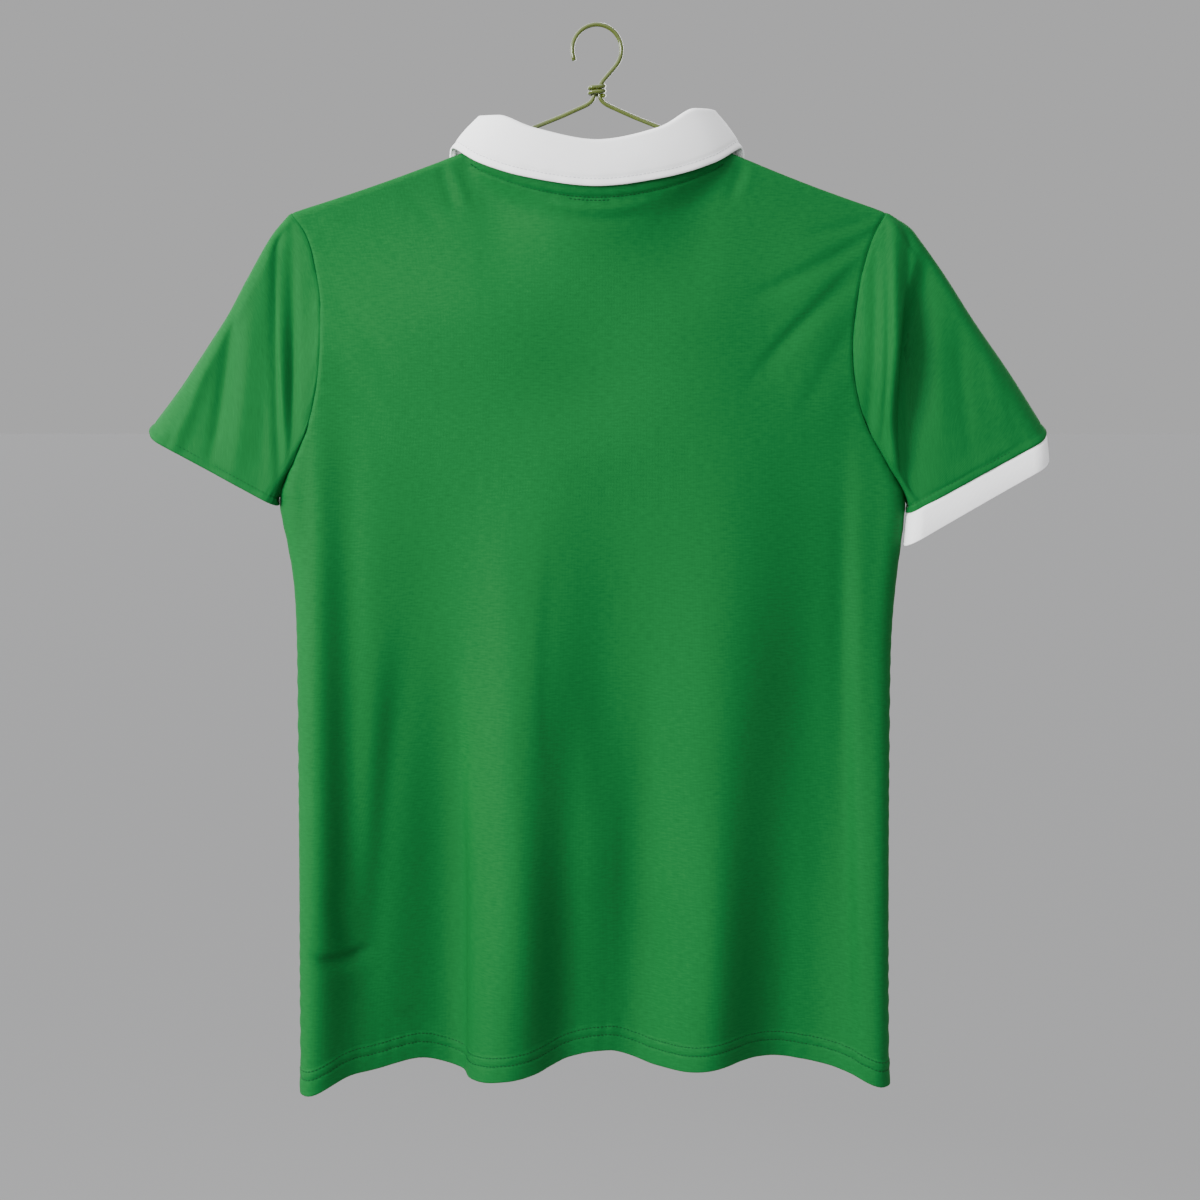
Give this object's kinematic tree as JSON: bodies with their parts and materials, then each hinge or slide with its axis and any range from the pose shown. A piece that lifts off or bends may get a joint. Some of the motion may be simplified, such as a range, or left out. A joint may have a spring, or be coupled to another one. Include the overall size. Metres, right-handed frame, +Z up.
{
  "type": "football jersey",
  "caption": "Short-sleeved knitted football jersey with a turned-down collar, a banded cuff and soft folds down to a wavy hem, hanging from a wire hanger.",
  "frame": {"origin": "the inside top of the hanger's hook, where a rail carries it", "axes": "+Z up, +X towards the wearer's right sleeve, -Y out of the garment's back, +Y out of its front"},
  "size_m": [0.6953, 0.0781, 0.8292],
  "materials": {
    "green_cloth": "satin polyester knit",
    "white_cloth": "matt white knit",
    "olive_wire": "glossy olive coating"
  },
  "bodies": {
    "root": {"back_panel": "green_cloth", "front_panel": "green_cloth", "sleeve_left": "green_cloth", "sleeve_right": "green_cloth", "cuff_right": "white_cloth", "collar": "white_cloth", "hanger": "olive_wire", "hanger_wrap": "olive_wire"}
  },
  "joints": []
}
